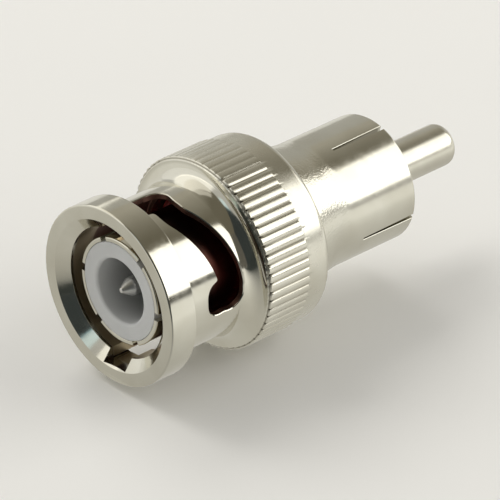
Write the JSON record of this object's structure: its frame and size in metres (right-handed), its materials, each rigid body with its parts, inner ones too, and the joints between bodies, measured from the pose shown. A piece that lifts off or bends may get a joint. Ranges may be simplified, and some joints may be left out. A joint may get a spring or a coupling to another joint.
{
  "type": "bnc to rca adapter",
  "caption": "Coaxial adapter with a knurled bayonet coupling nut that turns on its sprung body, and a phono plug with a slotted shell and round pin at the far end.",
  "frame": {"origin": "centre of the bayonet mouth, on the face that the adapter stands on", "axes": "+Z along the connector axis from the bayonet mouth to the tip of the phono pin; -Y towards the side that the picture is taken from"},
  "size_m": [0.0144, 0.0144, 0.0323],
  "materials": {
    "nickel_plate": "bright nickel plate over brass",
    "contact_plate": "bright plate over brass",
    "spring_metal": "plain spring metal",
    "white_insulator": "cool white, satin",
    "red_rubber": "dark red, matt"
  },
  "bodies": {
    "plug_body": {"rca_body": "nickel_plate", "outer_contact": "contact_plate", "bnc_insulator": "white_insulator", "bnc_pin": "contact_plate", "rca_insulator": "white_insulator", "rca_pin": "contact_plate", "gasket": "red_rubber", "spring_washer": "spring_metal"},
    "slip_ring": {"slip_washer": "spring_metal"},
    "nut": {"coupling_nut": "nickel_plate"}
  },
  "joints": [
    {"name": "nut_push", "type": "slide", "parent": "plug_body", "child": "slip_ring", "axis": [0, 0, -1], "range_m": [0, 0.0009], "stiffness_N_per_m": 9000, "springref_m": -0.0004, "deforming": ["spring_washer"]},
    {"name": "nut_turn", "type": "hinge", "parent": "slip_ring", "child": "nut", "pos_m": [0, 0, 0], "axis": [0, 0, 1], "continuous": true}
  ]
}
